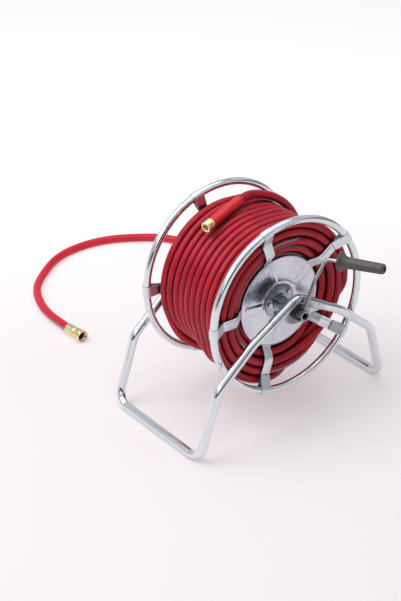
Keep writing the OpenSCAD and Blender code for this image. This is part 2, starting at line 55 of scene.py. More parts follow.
MM = 0.001
AXLE_Z = 0.305
AXLE_MIDDLE_Y = 0.005            # middle of the axle piece, from the middle of the drum
axle_lo, axle_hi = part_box("axle")
ORIGIN = np.array([(axle_lo.x + axle_hi.x) / 2, (axle_lo.y + axle_hi.y) / 2 - AXLE_MIDDLE_Y, 0.0])

# free end of the drum hose: both points lie on the axis of the sleeve and the male coupling
SLEEVE_END = np.array([0.0057, 0.0533, 0.5096])      # where the hose enters the sleeve
COUPLING_END = np.array([-0.1202, 0.0236, 0.4889])   # open end of the coupling
BORE = (0.0065, 0.030)           # radius and depth of the hole in the end of the drum hose
LEADER_BORE = (0.0065, 0.026)


# ---------------------------------------------------------------- numbers and curves
def unit(vector):
    vector = np.asarray(vector, float)
    return vector / np.linalg.norm(vector)


def smooth(share):
    """0 to 1 with soft ends."""
    share = np.clip(share, 0, 1)
    return share * share * (3 - 2 * share)


def rise(value, start, length):
    """Soft step from 0 to 1 that begins at start and takes length."""
    return smooth((value - start) / length)


def wave(x, seed):
    """Smooth irregular value in -1..1 along x, the same on each run."""
    total = 0.0
    for k, (frequency, height) in enumerate(((0.37, 0.5), (0.83, 0.3), (1.71, 0.2))):
        total = total + height * np.sin(frequency * x + 1.7 * seed + 2.1 * k)
    return total


def cubic(u, start, start_slope, end, end_slope):
    """Cubic between two values with given slopes, at u from 0 to 1."""
    return ((1 + 2 * u) * (1 - u) ** 2 * start + u * (1 - u) ** 2 * start_slope
            + u * u * (3 - 2 * u) * end + u * u * (u - 1) * end_slope)


def curve_through(x, knots, values):
    """Smooth curve through the knots, without overshoot."""
    gaps = np.diff(knots)
    steep = np.diff(values) / gaps
    slopes = np.zeros(len(knots))
    for i in range(1, len(knots) - 1):
        if steep[i - 1] * steep[i] > 0:
            slopes[i] = 2 * steep[i - 1] * steep[i] / (steep[i - 1] + steep[i])
    i = np.clip(np.searchsorted(knots, x) - 1, 0, len(knots) - 2)
    u = (x - knots[i]) / gaps[i]
    return cubic(u, values[i], gaps[i] * slopes[i], values[i + 1], gaps[i] * slopes[i + 1])


def lengths_along(path):
    return np.concatenate([[0], np.cumsum(np.linalg.norm(np.diff(path, axis=0), axis=1))])


def fillet_path(points, radii, step):
    """Centre line through points with each inner corner rounded, as an array of points."""
    points = [np.asarray(p, float) for p in points]
    corners = [points[0]]
    for i in range(1, len(points) - 1):
        back, ahead = unit(points[i - 1] - points[i]), unit(points[i + 1] - points[i])
        turn = math.pi - math.acos(float(back @ ahead))
        reach = radii[i] * math.tan(turn / 2)
        centre = points[i] + unit(back + ahead) * radii[i] / math.cos(turn / 2)
        from_dir = unit(points[i] + back * reach - centre)
        to_dir = unit(points[i] + ahead * reach - centre)
        count = max(3, int(radii[i] * turn / step))
        for j in range(count + 1):
            angle = turn * (j / count)
            spoke = (math.sin(turn - angle) * from_dir + math.sin(angle) * to_dir) / math.sin(turn)
            corners.append(centre + spoke * radii[i])
    corners.append(points[-1])
    path = [corners[0]]
    for start, end in zip(corners[:-1], corners[1:]):
        distance = np.linalg.norm(end - start)
        if distance < 1e-7:
            continue
        count = max(1, int(round(distance / step)))
        for j in range(1, count + 1):
            path.append(start + (end - start) * j / count)
    return np.array(path)


def tangents(path):
    along = np.gradient(path, axis=0)
    return along / np.linalg.norm(along, axis=1)[:, None]


def transport(path, first, twist=None):
    """Direction first carried along the path, then turned by twist (radians per point)."""
    along = tangents(path)
    direction = unit(first - along[0] * (along[0] @ first))
    carried = [direction]
    for i in range(1, len(path)):
        direction = unit(direction - along[i] * (along[i] @ direction))
        carried.append(direction)
    carried = np.array(carried)
    if twist is not None:
        across = np.cross(along, carried)
        carried = carried * np.cos(twist)[:, None] + across * np.sin(twist)[:, None]
    return carried


# ---------------------------------------------------------------- mesh tools
def add_mesh(name, verts, faces, uv=None):
    mesh = bpy.data.meshes.new(name)
    mesh.from_pydata((np.asarray(verts) + ORIGIN).tolist(), [], faces)
    if uv is not None:
        layer = mesh.uv_layers.new(name="UVMap")
        layer.data.foreach_set("uv", np.asarray(uv, np.float32).ravel())
    mesh.polygons.foreach_set("use_smooth", [True] * len(mesh.polygons))
    mesh.validate()
    mesh.update()
    piece = bpy.data.objects.new(name, mesh)
    scene.collection.objects.link(piece)
    return piece


def face_outwards(piece):
    tool = bmesh.new()
    tool.from_mesh(piece.data)
    bmesh.ops.recalc_face_normals(tool, faces=tool.faces)
    tool.to_mesh(piece.data)
    tool.free()
    piece.data.polygons.foreach_set("use_smooth", [True] * len(piece.data.polygons))
    piece.data.update()


def split_edges(piece, name, degrees):
    split = piece.modifiers.new(name, "EDGE_SPLIT")
    split.split_angle = math.radians(degrees)


def finish(piece, material, node, rides):
    piece.data.materials.append(material)
    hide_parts(node)
    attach(piece, rides)


def grid_faces(rings, sides, closed=False):
    """Quads between rings of points; closed joins the last ring to the first."""
    faces = []
    for i in range(rings if closed else rings - 1):
        j = (i + 1) % rings
        for k in range(sides):
            k2 = (k + 1) % sides
            faces.append((i * sides + k, i * sides + k2, j * sides + k2, j * sides + k))
    return faces


def end_rings(radius, bore=None):
    """(depth, radius) of the rings that close a hose end, from the middle outwards."""
    rounding = (0.0003, radius - 0.0002)
    if bore is None:
        return [(0, radius * 0.55), (0, radius - 0.0009), rounding]
    bore_radius, depth = bore
    return [(depth, bore_radius), (0.0006, bore_radius), (0, bore_radius + 0.0006),
            (0, radius - 0.0008), rounding]


def sweep(name, path, stripe, radius, sides, end_bore, start_bore=None):
    """Round hose along the path. The stripe directions land at u 0.5; v is the length in metres."""
    along = tangents(path)
    across = np.cross(along, stripe)
    radius = np.broadcast_to(radius, len(path))
    length = lengths_along(path)
    angle = np.pi + 2 * np.pi * np.arange(sides) / sides      # vertex 0 is opposite the stripe
    rings, ring_v = [], []

    def ring(i, ring_radius, shift=0.0):
        ring_v.append(length[i])
        circle = np.cos(angle)[:, None] * stripe[i] + np.sin(angle)[:, None] * across[i]
        rings.append(path[i] + along[i] * shift + ring_radius * circle)

    for depth, ring_radius in end_rings(radius[0], start_bore):
        ring(0, ring_radius, depth)
    for i in range(1, len(path) - 1):
        ring(i, radius[i])
    for depth, ring_radius in reversed(end_rings(radius[-1], end_bore)):
        ring(len(path) - 1, ring_radius, -depth)

    count = len(rings)
    verts = np.vstack([np.concatenate(rings), rings[0].mean(0), rings[-1].mean(0)])
    faces = grid_faces(count, sides)
    uv = []
    for i in range(count - 1):
        for k in range(sides):
            u0, u1 = k / sides, (k + 1) / sides
            v0, v1 = ring_v[i], ring_v[i + 1]
            uv += [(u0, v0), (u1, v0), (u1, v1), (u0, v1)]
    last = (count - 1) * sides
    for k in range(sides):
        k2 = (k + 1) % sides
        faces.append((count * sides, k2, k))
        faces.append((count * sides + 1, last + k, last + k2))
        uv += [(0.1, ring_v[0])] * 3 + [(0.1, ring_v[-1])] * 3
    return add_mesh(name, verts, faces, uv)


def lathe(name, loop, sides, origin, axis, shape=None, from_top=False):
    """Solid of revolution from a closed loop of (radius, distance along the axis).

    shape(radius, distance, angle) gives the radius at an angle. Angle 0 is level with the axis,
    or above it with from_top.
    """
    axis = unit(axis)
    up = np.array([0, 0, 1])
    level = unit(up - axis * (axis @ up)) if from_top else unit(np.cross(up, axis))
    other = np.cross(axis, level)
    angles = 2 * np.pi * np.arange(sides) / sides
    circle = np.cos(angles)[:, None] * level + np.sin(angles)[:, None] * other
    verts = []
    for radius, distance in loop:
        if shape:
            radii = np.array([shape(radius, distance, a) for a in angles])
        else:
            radii = np.full(sides, radius)
        verts.append(origin + axis * distance + radii[:, None] * circle)
    piece = add_mesh(name, np.concatenate(verts), grid_faces(len(loop), sides, closed=True))
    face_outwards(piece)
    split_edges(piece, "ws", 32)
    return piece


# ---------------------------------------------------------------- material tools
class Value:
    """A node output. Sums with it add Math nodes, with the operands in the order written."""

    def __init__(self, nodes, socket):
        self.nodes, self.socket = nodes, socket

    def __add__(self, other):
        return self.nodes.math("ADD", self, other)

    def __radd__(self, other):
        return self.nodes.math("ADD", other, self)

    def __sub__(self, other):
        return self.nodes.math("SUBTRACT", self, other)

    def __rsub__(self, other):
        return self.nodes.math("SUBTRACT", other, self)

    def __mul__(self, other):
        return self.nodes.math("MULTIPLY", self, other)


class Nodes:
    """Short ways to add shader nodes to an emptied tree."""

    def __init__(self, tree):
        self.tree = tree
        tree.nodes.clear()

    def node(self, kind, **settings):
        node = self.tree.nodes.new(kind)
        for key, value in settings.items():
            setattr(node, key, value)
        return node

    def put(self, socket, value):
        if isinstance(value, Value):
            self.tree.links.new(value.socket, socket)
        elif isinstance(value, tuple) and socket.type == "RGBA":
            socket.default_value = (*value, 1)
        else:
            socket.default_value = value

    def add(self, kind, inputs, output=0, **settings):
        node = self.node(kind, **settings)
        for key, value in inputs.items():
            self.put(node.inputs[key], value)
        return Value(self, node.outputs[output])

    def math(self, operation, *values):
        return self.add("ShaderNodeMath", dict(enumerate(values)), operation=operation)

    def mapped(self, vector, scale=(1, 1, 1), rotation=(0, 0, 0), location=(0, 0, 0)):
        return self.add("ShaderNodeMapping", {"Vector": vector, "Location": location,
                                              "Rotation": rotation, "Scale": scale})

    def place(self):
        """Position in the coordinates that the pieces are drawn in."""
        return self.mapped(self.add("ShaderNodeTexCoord", {}, "Object"), location=tuple(-ORIGIN))

    def noise(self, vector, scale, detail, rough, distortion=0.0):
        return self.add("ShaderNodeTexNoise", {"Vector": vector, "Scale": scale, "Detail": detail,
                                               "Roughness": rough, "Distortion": distortion})

    def pebbles(self, vector, scale):
        """Distance to the middle of the nearest grain."""
        return self.add("ShaderNodeTexVoronoi", {"Vector": vector, "Scale": scale}, "Distance")

    def crystals(self, vector, scale):
        """Random value for each crystal patch."""
        colour = self.add("ShaderNodeTexVoronoi", {"Vector": vector, "Scale": scale}, "Color")
        return self.add("ShaderNodeSeparateColor", {0: colour})

    def ramp(self, value, lo, hi):
        """0 below lo, 1 above hi, straight between."""
        node = self.node("ShaderNodeValToRGB")
        self.put(node.inputs[0], value)
        for stop, position, grey in zip(node.color_ramp.elements, (lo, hi), (0.0, 1.0)):
            stop.position = position
            stop.color = (grey, grey, grey, 1)
        return Value(self, node.outputs[0])

    def step(self, value, lo, hi):
        """0 below lo, 1 above hi, with soft ends."""
        return self.add("ShaderNodeMapRange", {0: value, 1: lo, 2: hi},
                        interpolation_type="SMOOTHSTEP")

    def blend(self, base, colour, amount, mode="MIX"):
        """base, taken towards colour by amount."""
        return self.add("ShaderNodeMix", {0: amount, 6: base, 7: colour}, 2,
                        data_type="RGBA", blend_type=mode)

    def split(self, vector):
        node = self.node("ShaderNodeSeparateXYZ")
        self.put(node.inputs[0], vector)
        return [Value(self, output) for output in node.outputs]

    def join(self, x, y, z):
        return self.add("ShaderNodeCombineXYZ", {0: x, 1: y, 2: z})

    def bump(self, height, strength, distance, normal=None):
        inputs = {"Strength": strength, "Distance": distance, "Height": height}
        if normal is not None:
            inputs["Normal"] = normal
        return self.add("ShaderNodeBump", inputs)

    def crevice_shade(self, distance, lo, hi):
        """Mask for painted shade, from ambient occlusion: 1 deep in a groove or against a neighbour,
        0 in the open.
        """
        light = self.add("ShaderNodeAmbientOcclusion", {"Distance": distance}, "AO", samples=8)
        return 1.0 - self.step(light, lo, hi)

    def about_axle(self, place):
        """x, y and z of a place, with z counted from the drum axis."""
        x, y, z = self.split(place)
        return x, y, z - AXLE_Z

    def radius(self, x, z):
        return self.math("SQRT", x * x + z * z)

    def angle(self, x, z):
        return self.math("ARCTAN2", z, x)


class Mat(Nodes):
    """A new material with one Principled shader."""
    INPUTS = {"color": "Base Color", "metal": "Metallic", "rough": "Roughness",
              "normal": "Normal", "spec": "Specular IOR Level", "aniso": "Anisotropic",
              "tangent": "Tangent"}

    def __init__(self, name):
        self.material = bpy.data.materials.new(name)
        self.material.use_nodes = True
        super().__init__(self.material.node_tree)
        self.out = self.node("ShaderNodeOutputMaterial")
        self.shader = self.node("ShaderNodeBsdfPrincipled")
        self.tree.links.new(self.shader.outputs[0], self.out.inputs["Surface"])

    def set(self, **values):
        for key, value in values.items():
            self.put(self.shader.inputs[self.INPUTS[key]], value)
        return self.material


# ---------------------------------------------------------------- zinc
# Drawing lines, as the vector for a noise: the factors are large across the lines and small
# along them. x and z are counted from the drum axis.
def ring_lines(m, x, y, z):
    """Round the axis, on a tube bent to a ring."""
    return m.join(m.radius(x, z) * 420.0, y * 420.0, m.angle(x, z) * 4.0)


def leg_lines(m, x, y, z):
    """Along Y near the middle of the stand, and down the sloping sides beyond |y| = 0.12-0.15."""
    side = m.math("ABSOLUTE", x)
    across = side * 0.62 + z * 0.79
    along = side * 0.79 - z * 0.62
    sloping = m.join(across * 260.0, y * 380.0, along * 9.0)
    floor_bar = m.join(x * 380.0, z * 380.0, y * 9.0)
    outside = m.step(m.math("ABSOLUTE", y), lo=0.120, hi=0.150)
    return m.add("ShaderNodeMix", {0: outside, 4: floor_bar, 5: sloping}, 1, data_type="VECTOR")


def turned_lines(m, x, y, z):
    """Fine circles round the axis, on a flat face."""
    return m.join(m.radius(x, z) * 1500.0, m.angle(x, z) * 2.0, 0.0)


def axis_lines(m, x, y, z):
    """Close together in y, drawn out round the axis."""
    return m.join(m.angle(x, z) * 14.0, y * 700.0, m.radius(x, z) * 40.0)


def radial_lines(m, x, y, z):
    """Away from the axis."""
    return m.join(m.angle(x, z) * 160.0, m.radius(x, z) * 9.0, y * 60.0)


def zinc(name, lines, tone=(0.78, 0.81, 0.845), dark=(0.54, 0.58, 0.63), shiny=0.09, dull=0.17,
         spangle=0.5, web=False):
    """Bright zinc plate: blue-white and cloudy, with crystal patches, drawing lines and scuffs.

    shiny and dull are the ends of the roughness range, spangle is the strength of the crystal
    patches, and web adds grease and painted shade round the bearing.
    """
    m = Mat(name)
    place = m.place()
    x, y, z = m.about_axle(place)
    fine = m.noise(lines(m, x, y, z), scale=1.0, detail=3, rough=0.6)
    cloud = m.noise(place, scale=9.0, detail=5, rough=0.6)
    patch = m.noise(place, scale=42.0, detail=4, rough=0.6, distortion=0.4)
    cell = m.crystals(place, scale=230.0)
    scuff = m.ramp(m.noise(m.mapped(place, scale=(1, 1, 3)), scale=95.0, detail=6, rough=0.7,
                           distortion=0.8), lo=0.60, hi=0.70)
    cloudy = tuple(0.86 * t + 0.14 * d for t, d in zip(tone, dark))
    base = m.blend(tone, colour=cloudy, amount=m.step(cloud, lo=0.32, hi=0.70))
    base = m.blend(base, colour=dark, amount=m.step(patch, lo=0.50, hi=0.72) * 0.20)
    base = m.blend(base, colour=(0.93, 0.95, 0.98), amount=cell * (0.10 * spangle))
    base = m.blend(base, colour=dark, amount=m.step(fine, lo=0.50, hi=0.80) * 0.22)
    base = m.blend(base, colour=(0.50, 0.52, 0.55), amount=scuff * 0.22)
    # painted shade: darker in grooves, corners and where parts meet
    base = m.blend(base, colour=(0.05, 0.05, 0.06),
                   amount=m.crevice_shade(distance=0.006, lo=0.30, hi=0.92) * 0.85)
    # grease, and painted shade, round the bearing
    if web:
        ragged = m.radius(x, z) + (patch - 0.5) * 0.012
        base = m.blend(base, colour=(0.10, 0.105, 0.12),
                       amount=(1.0 - m.step(ragged, lo=0.027, hi=0.047)) * 0.80)
    rough = shiny + m.step(patch, lo=0.35, hi=0.75) * (dull - shiny)
    rough = rough + cell * (0.03 * spangle) + scuff * 0.10 + fine * 0.05
    normal = m.bump(fine * 0.12 + cloud * 1.0, strength=0.03, distance=0.0004)
    return m.set(color=base, metal=1.0, rough=rough, normal=normal)


def disc_zinc():
    """Pressed side disc: soft lavender-grey plate, broad dull sheen, turned lines and waviness."""
    m = Mat("zinc_disc_look")
    place = m.place()
    x, _, z = m.about_axle(place)
    turned = m.join(m.radius(x, z) * 1300.0, m.angle(x, z) * 1.5, 0.0)
    fine = m.noise(turned, scale=1.0, detail=3, rough=0.6)
    cloud = m.noise(place, scale=14.0, detail=5, rough=0.6)
    grain = m.noise(place, scale=900.0, detail=2, rough=0.5)
    scuff = m.ramp(m.noise(m.mapped(place, scale=(1, 1, 2.5)), scale=70.0, detail=6, rough=0.7,
                           distortion=0.9), lo=0.61, hi=0.70)
    base = m.blend((0.70, 0.71, 0.77), colour=(0.61, 0.62, 0.69),
                   amount=m.step(cloud, lo=0.3, hi=0.72))
    base = m.blend(base, colour=(0.50, 0.52, 0.58), amount=fine * 0.16)
    base = m.blend(base, colour=(0.85, 0.86, 0.90), amount=m.crystals(place, scale=170.0) * 0.07)
    base = m.blend(base, colour=(0.42, 0.44, 0.50), amount=scuff * 0.16)
    # painted shade: darker in grooves, corners and where parts meet
    base = m.blend(base, colour=(0.07, 0.07, 0.09),
                   amount=m.crevice_shade(distance=0.008, lo=0.30, hi=0.95) * 0.75)
    rough = 0.15 + m.step(cloud, lo=0.3, hi=0.7) * 0.10 + scuff * 0.10
    waves = m.noise(place, scale=11.0, detail=2, rough=0.4)
    normal = m.bump(waves, strength=0.20, distance=0.010)
    normal = m.bump(fine * 0.6 + grain * 0.4, strength=0.07, distance=0.0004, normal=normal)
    tangent = m.add("ShaderNodeTangent", {}, direction_type="RADIAL", axis="Y")
    return m.set(color=base, metal=1.0, rough=rough, normal=normal, aniso=0.45, tangent=tangent)


# ---------------------------------------------------------------- rubber, brass and plastic
def hose_rubber(name, light, deep, groove_shade=True):
    """Crimson rubber: lengthwise drawing lines, chalky bloom and a grey stripe at u 0.5.

    The last argument turns on painted shade in the hollows between neighbouring turns.
    """
    m = Mat(name)
    u, v, _ = m.split(m.add("ShaderNodeTexCoord", {}, "UV"))
    place = m.place()
    lines = m.noise(m.join(u * 70.0, v * 3.0, 0.0), scale=1.0, detail=3, rough=0.6)
    bloom = m.noise(place, scale=16.0, detail=5, rough=0.62, distortion=0.3)
    grain = m.noise(place, scale=1300.0, detail=2, rough=0.6)
    pores = m.pebbles(place, scale=1000.0)
    dust = m.ramp(m.noise(m.mapped(place, scale=(1, 1.4, 1)), scale=60.0, detail=6, rough=0.7,
                          distortion=0.5), lo=0.56, hi=0.72)
    base = m.blend(deep, colour=light, amount=m.step(bloom, lo=0.32, hi=0.72))
    base = m.blend(base, colour=tuple(c * 1.35 + 0.01 for c in light),
                   amount=m.step(lines, lo=0.45, hi=0.75) * 0.25)
    base = m.blend(base, colour=(0.66, 0.30, 0.34), amount=dust * 0.07)
    rough = 0.34 + m.step(bloom, lo=0.3, hi=0.75) * 0.12 + dust * 0.12
    height = lines * 0.9 + (grain * 0.35 + pores * 0.25)

    # stripe: distances are shares of the way round, from its middle line
    from_middle = m.math("ABSOLUTE", u - 0.5)
    wobble = m.noise(m.join(0.0, v * 40.0, 0.0), scale=1.0, detail=2, rough=0.5)
    stripe = 1.0 - m.step(from_middle + (wobble - 0.5) * 0.006, lo=0.028, hi=0.034)
    edge = 1.0 - m.step(m.math("ABSOLUTE", from_middle - 0.034), lo=0.003, hi=0.008)
    grey = m.blend((0.20, 0.28, 0.335), colour=(0.27, 0.35, 0.41),
                   amount=m.step(bloom, lo=0.35, hi=0.7))
    base = m.blend(base, colour=grey, amount=stripe)
    base = m.blend(base, colour=(0.08, 0.03, 0.035), amount=edge * 0.55)
    height = height - edge * 0.7
    # painted shade in the hollows between neighbouring turns
    if groove_shade:
        base = m.blend(base, colour=(0.045, 0.002, 0.006),
                       amount=m.crevice_shade(distance=0.013, lo=0.30, hi=0.88) * 0.90)
    normal = m.bump(height, strength=0.22, distance=0.0004)
    return m.set(color=base, rough=rough, normal=normal, spec=0.30)


def sleeve_rubber():
    """Bright red, with pale rub marks."""
    m = Mat("bend_sleeve_look")
    place = m.place()
    cloud = m.noise(place, scale=38.0, detail=4, rough=0.6)
    grain = m.noise(place, scale=700.0, detail=3, rough=0.6)
    askew = m.mapped(place, scale=(1, 1, 2), rotation=(0.3, 0.2, 0.1))
    mark = m.ramp(m.noise(askew, scale=160.0, detail=6, rough=0.75, distortion=1.2),
                  lo=0.62, hi=0.70)
    base = m.blend((0.58, 0.010, 0.020), colour=(0.68, 0.018, 0.030),
                   amount=m.step(cloud, lo=0.3, hi=0.7))
    base = m.blend(base, colour=(0.80, 0.16, 0.18), amount=mark * 0.22)
    rough = 0.30 + (cloud * 0.08 + mark * 0.12)
    normal = m.bump(grain * 0.5 + cloud, strength=0.12, distance=0.0004)
    return m.set(color=base, rough=rough, normal=normal, spec=0.5)


def brass(name, tone):
    """Cloudy brass with brown tarnish."""
    m = Mat(name)
    place = m.place()
    cloud = m.noise(place, scale=70.0, detail=5, rough=0.6, distortion=0.3)
    fine = m.noise(m.mapped(place), scale=900.0, detail=3, rough=0.6)
    tarnish = m.ramp(m.noise(place, scale=190.0, detail=6, rough=0.7, distortion=0.7),
                     lo=0.52, hi=0.70)
    base = m.blend(tone, colour=tuple(c * 0.84 for c in tone),
                   amount=m.step(cloud, lo=0.3, hi=0.7))
    base = m.blend(base, colour=(0.42, 0.27, 0.10), amount=tarnish * 0.30)
    rough = 0.20 + (tarnish * 0.18 + cloud * 0.08)
    normal = m.bump(fine + cloud, strength=0.08, distance=0.0003)
    return m.set(color=base, metal=1.0, rough=rough, normal=normal)


def plastic(name, tone, cloudy, rough):
    """Pebbled plastic or rubber with paler, smoother worn patches."""
    m = Mat(name)
    place = m.place()
    cloud = m.noise(place, scale=30.0, detail=4, rough=0.6)
    pebble = m.pebbles(place, scale=1100.0)
    fine = m.noise(place, scale=1540.0, detail=3, rough=0.6)
    worn = m.ramp(m.noise(place, scale=85.0, detail=6, rough=0.72, distortion=0.8),
                  lo=0.56, hi=0.70)
    base = m.blend(tone, colour=cloudy, amount=m.step(cloud, lo=0.3, hi=0.7))
    base = m.blend(base, colour=tuple(min(1, c * 1.7 + 0.01) for c in cloudy),
                   amount=worn * 0.35)
    roughness = (rough - 0.06) + cloud * 0.14 - worn * 0.08
    normal = m.bump(pebble * 0.8 + fine * 0.5, strength=0.25, distance=0.0004)
    return m.set(color=base, rough=roughness, normal=normal, spec=0.5)


# ---------------------------------------------------------------- materials
M_TUBE = zinc("zinc_tube_look", leg_lines)
M_RING = zinc("zinc_ring_look", ring_lines)
M_SHEET = zinc("zinc_sheet_look", radial_lines, tone=(0.76, 0.79, 0.83),
               shiny=0.28, dull=0.40, spangle=0.6)
M_BRACKET = zinc("zinc_bracket_look", leg_lines, tone=(0.60, 0.63, 0.67),
                 dark=(0.36, 0.39, 0.43), shiny=0.12, dull=0.22, web=True)
M_BAR = zinc("zinc_bar_look", axis_lines, tone=(0.36, 0.375, 0.40), dark=(0.20, 0.21, 0.23),
             shiny=0.20, dull=0.34, spangle=0.2)
M_HUB = zinc("zinc_hub_look", turned_lines, tone=(0.40, 0.43, 0.48), dark=(0.20, 0.22, 0.26),
             shiny=0.16, dull=0.30, spangle=0.3)
M_FASTENER = zinc("fastener_look", turned_lines, tone=(0.66, 0.68, 0.71),
                  dark=(0.42, 0.44, 0.47), shiny=0.20, dull=0.36, spangle=0.2)
M_DISC = disc_zinc()
M_HOSE = hose_rubber("red_hose_look", light=(0.50, 0.008, 0.028), deep=(0.34, 0.003, 0.015))
M_LEADER = hose_rubber("leader_hose_look", light=(0.68, 0.018, 0.045),
                       deep=(0.56, 0.012, 0.032), groove_shade=False)
M_SLEEVE = sleeve_rubber()
M_BRASS = brass("brass_look", tone=(0.95, 0.78, 0.42))
M_DARK_BRASS = brass("brass_dark_look", tone=(0.70, 0.52, 0.24))
M_GRIP = plastic("grip_look", tone=(0.060, 0.050, 0.052), cloudy=(0.088, 0.076, 0.077),
                 rough=0.46)
M_BEARING = plastic("bearing_look", tone=(0.018, 0.018, 0.020), cloudy=(0.030, 0.030, 0.033),
                    rough=0.40)
M_NYLON = plastic("nylon_look", tone=(0.70, 0.69, 0.64), cloudy=(0.78, 0.77, 0.72), rough=0.42)
M_SEAL = plastic("seal_look", tone=(0.012, 0.012, 0.013), cloudy=(0.022, 0.021, 0.021),
                 rough=0.55)
M_BOLT = zinc("dark_bolt_look", turned_lines, tone=(0.16, 0.165, 0.18), dark=(0.07, 0.07, 0.08),
              shiny=0.30, dull=0.45, spangle=0.1)


def material_for(name):
    """Material of a CAD piece; the first rule that fits its name wins."""
    rules = (
        (name.endswith("_leg"), M_TUBE),
        (name.endswith("_rim"), M_RING),
        ("rivets" in name or "bolts" in name, M_FASTENER),
        (name in ("inlet_clip", "grip_retainer", "leader_clamp"), M_FASTENER),
        ("bracket" in name, M_BRACKET),
        ("spoke" in name, M_SHEET),
        ("disc" in name or name == "drum_core", M_DISC),
        ("hub" in name, M_HUB),
        (name in ("axle", "crank_arm"), M_BAR),
        ("bearing" in name, M_BEARING),
        ("thrust" in name, M_NYLON),
        (name == "crank_bolt", M_BOLT),
        (name == "crank_grip", M_GRIP),
        (name in ("inlet_seals", "inlet_washer"), M_SEAL),
        (name == "tail_sleeve", M_SLEEVE),
        (name in ("hose_coil", "leader_hose"), M_HOSE),
        (name in ("feed_pipe", "inlet_elbow", "inlet_plug"), M_DARK_BRASS),
    )
    return next((material for fits, material in rules if fits), M_BRASS)


for node_name in NODES:
    slots = NODES[node_name].data.materials
    slots.clear()
    slots.append(material_for(node_name))

# ---------------------------------------------------------------- hose on the drum
HOSE_R = 0.0103
PITCH = 0.0213                   # spacing of turns along the drum
FIRST_LAYER_R = 0.1146           # radius of the hose centre in the lowest layer
LAYER_RISE = 0.0208
LAYER_TURNS = (9, 10, 11, 11)
RING_STEP = 4.0                  # degrees between rings of the mesh
START_ANGLE = 256.0              # where the hose begins
END_ANGLE = 200.0                # where the fourth layer ends, at the far disc
JOG_ANGLE = 316.0                # middle of the move from one turn to the next
JOG_HALF = 38.0

# fifth layer, after its start at the end of the fourth: across underneath to the near disc, once
# along it, back underneath and up over the slack turns: angle (degrees), radius, y
OUTER_TURNS = (
    (226.0, 0.1968, 0.0935), (262.0, 0.1984, 0.0560), (300.0, 0.1982, 0.0050),
    (336.0, 0.1982, -0.0700), (358.0, 0.1984, -0.1040), (380.0, 0.1984, -0.1062),
    (410.0, 0.1984, -0.1062), (480.0, 0.1984, -0.1062), (560.0, 0.1984, -0.1062),
    (600.0, 0.2006, -0.1060), (622.0, 0.2012, -0.1000), (640.0, 0.2100, -0.0720),
    (658.0, 0.2190, -0.0350), (682.0, 0.2120, 0.0150), (715.0, 0.2030, 0.0500),
    (745.0, 0.2075, 0.0590), (768.0, 0.2112, 0.0590), (790.0, 0.2108, 0.0592),
)

# where the stripe rolls to a set direction: turn, from and to (degrees), and the direction in
# degrees from straight outwards towards +Y
STRIPE_WINDOWS = (
    (8, 42, 192, -66), (9, 42, 176, -50), (9, 200, 238, -70), (29, 66, 120, -60),
    (30, 246, 306, -80), (18, 300, 420, 84), (19, 60, 190, 82),
)
STRIPE_ROLL = 26.0               # degrees round the drum taken by each roll


def turn_start(turn):
    """Angle in the whole winding where a turn begins, in the middle of its jog."""
    return JOG_ANGLE + 360.0 * (turn - 1)


def turn_places():
    """(radius, y, layer) of each turn in order; the layers run to and fro along the drum."""
    places = []
    direction = -1
    for layer, turns in enumerate(LAYER_TURNS):
        radius = FIRST_LAYER_R + layer * LAYER_RISE
        half = (turns - 1) / 2 * PITCH
        for k in range(turns):
            places.append((radius, -direction * half + direction * k * PITCH, layer))
        direction = -direction
    return places


def even_layers():
    """The four full layers as arrays of angle (degrees), radius and y."""
    places = turn_places()
    end = 360.0 * (len(places) - 1) + END_ANGLE
    count = int((end - START_ANGLE) / RING_STEP)
    points = []
    for j in range(count + 1):
        angle = START_ANGLE + (end - START_ANGLE) * j / count
        turn = math.floor((angle - JOG_ANGLE) / 360.0 + 1.0)
        local = angle - turn_start(turn)
        before, after, moved = turn, turn, 0.0
        if local > 360.0 - JOG_HALF:
            after, moved = turn + 1, local - (360.0 - JOG_HALF)
        elif local < JOG_HALF:
            before, moved = turn - 1, local + JOG_HALF
        share = float(smooth(moved / (2 * JOG_HALF)))
        radius0, y0, _ = places[before]
        radius1, y1, _ = places[after]
        radius, y = radius0 + (radius1 - radius0) * share, y0 + (y1 - y0) * share
        if places[turn][2] == len(LAYER_TURNS) - 1:      # the top layer lies a little unevenly
            turned = angle / 57.3                        # roughly radians
            radius += 0.0012 * (0.5 + 0.5 * float(wave(turned * 0.9, 1.3)))
            y += 0.00012 * float(wave(turned * 1.3, 4.0))
        points.append((angle, radius, y))
    return np.array(points).T


def loosen(angle, radius, y):
    """Radius with the slack of the outer turns."""
    # the last two turns lie loose, and the last one climbs over its neighbours
    last_turn = turn_start(sum(LAYER_TURNS) - 1)
    turn_before = last_turn - 360
    before = rise(angle, turn_before + 100, 60.0) * (1 - rise(angle, turn_before + 230, 60.0))
    last = rise(angle, last_turn + 90, 80.0)
    radius = radius + 0.0035 * before + 0.0065 * last
    outer = rise(radius, 0.166, 0.010)                   # 1 in the top layer only
    local = angle % 360.0
    # the top layer stands off at the upper part of the +X side
    swell = rise(local, -18.0, 48.0) * (1 - rise(local, 56.0, 30.0))
    radius = radius + swell * outer * 0.0115 * rise(y, -0.104, 0.040)
    # and sags at the lower part of the -X side, near the near disc
    sag = (rise(local, 196.0, 32.0) * (1 - rise(local, 240.0, 28.0))
           * (1 - rise(y, -0.030, 0.070)) * rise(y, -0.106, 0.018))
    return radius + 0.0215 * sag * outer


